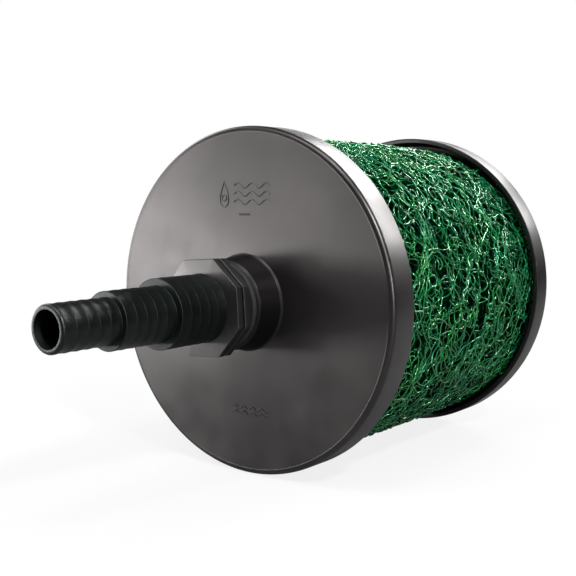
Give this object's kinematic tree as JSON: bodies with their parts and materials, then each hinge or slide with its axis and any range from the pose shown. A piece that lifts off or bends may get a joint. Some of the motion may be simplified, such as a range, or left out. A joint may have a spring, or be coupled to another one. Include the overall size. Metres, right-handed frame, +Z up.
{
  "type": "foot valve",
  "caption": "Foot valve for a suction hose: stepped barbed hose tail, spring-loaded check valve and a caged green fibre mat strainer between two skirted black end caps.",
  "frame": {"origin": "on the flow axis, halfway between the hose tip and the rear face, which is also the centre of the bounding box", "axes": "+Y along the flow axis from the hose tail towards the rear cap, -Y out of the hose tip, +Z up with the valve lying on its side on both cap rims"},
  "size_m": [0.2, 0.334, 0.2],
  "materials": {
    "cap_plastic": "satin",
    "tail_plastic": "satin",
    "inner_plastic": "satin",
    "white_plastic": "satin",
    "green_fibre": "satin",
    "rubber": "matte",
    "stainless": "satin",
    "brass_insert": "satin"
  },
  "bodies": {
    "housing": {"front_cap": "cap_plastic", "valve_body": "inner_plastic", "valve_gasket": "rubber", "valve_screw_1": "stainless", "valve_screw_2": "stainless", "valve_screw_3": "stainless", "valve_screw_4": "stainless", "spring_guide": "inner_plastic", "return_spring": "stainless", "seat_ring": "white_plastic", "seat_oring": "rubber", "seat_clip": "stainless", "core_cage": "inner_plastic", "cage_end_plate": "inner_plastic", "clamp_insert": "brass_insert", "front_cage_seal": "rubber"},
    "poppet_body": {"poppet": "white_plastic", "poppet_seal": "rubber", "poppet_nut": "stainless"},
    "tail_carrier": {"tail_gasket": "rubber"},
    "tail": {"hose_tail": "tail_plastic"},
    "mat_pack": {"filter_mat": "green_fibre"},
    "rear_cover": {"rear_cap": "cap_plastic", "rear_cage_seal": "rubber", "knob_washer": "rubber"},
    "knob": {"clamp_knob": "cap_plastic", "clamp_stud": "stainless", "stud_clip": "stainless"}
  },
  "joints": [
    {"name": "poppet_lift", "type": "slide", "parent": "housing", "child": "poppet_body", "axis": [0, -1, 0], "range_m": [0, 0.008], "stiffness_N_per_m": 120, "springref_m": -0.006, "deforming": ["return_spring"]},
    {"name": "tail_travel", "type": "slide", "parent": "housing", "child": "tail_carrier", "axis": [0, -1, 0], "range_m": [0, 0.01963]},
    {"name": "tail_turn", "type": "hinge", "parent": "tail_carrier", "child": "tail", "pos_m": [0, 0, 0], "axis": [0, -1, 0], "range_deg": [0, 3060]},
    {"name": "mat_slide", "type": "slide", "parent": "housing", "child": "mat_pack", "axis": [0, 1, 0], "range_m": [0, 0.19]},
    {"name": "cover_travel", "type": "slide", "parent": "mat_pack", "child": "rear_cover", "axis": [0, 1, 0], "range_m": [0, 0.0125]},
    {"name": "knob_turn", "type": "hinge", "parent": "rear_cover", "child": "knob", "pos_m": [0, 0, 0], "axis": [0, 1, 0], "range_deg": [0, 3600]}
  ],
  "couplings": [
    {"joint": "tail_turn", "follows": "tail_travel", "rad_per_m": 2721.2},
    {"joint": "knob_turn", "follows": "cover_travel", "rad_per_m": 5026.5}
  ]
}
